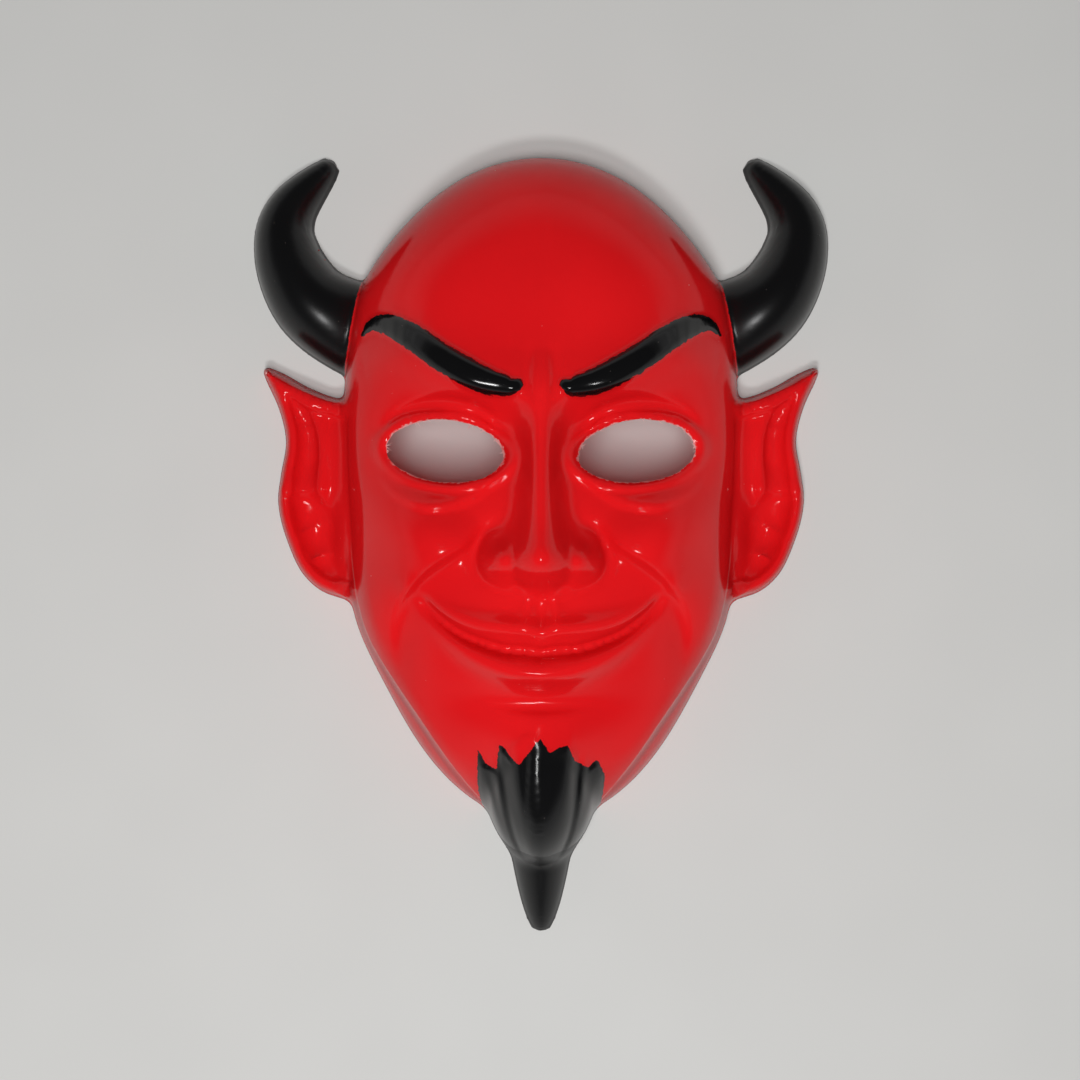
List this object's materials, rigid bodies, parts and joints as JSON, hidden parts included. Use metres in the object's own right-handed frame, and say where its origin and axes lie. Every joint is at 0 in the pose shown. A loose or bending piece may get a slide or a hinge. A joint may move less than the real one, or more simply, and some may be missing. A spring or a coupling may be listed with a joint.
{
  "type": "plastic devil mask",
  "caption": "Full-face horned devil mask of thin moulded plastic, hollow behind, with oval eye holes, pointed ears and a goatee, lying on its flat back rim.",
  "frame": {"origin": "centre of the outline, on the flat surface that the trimmed back rim lies on", "axes": "+X across the face, +Y up the face from the goatee's point to the top of the head, +Z out of the face"},
  "size_m": [0.2216, 0.2999, 0.0874],
  "materials": {
    "red_plastic": "glossy red sheet, with the horns, brows and goatee painted black"
  },
  "bodies": {
    "root": {"mask_shell": "red_plastic"}
  },
  "joints": []
}
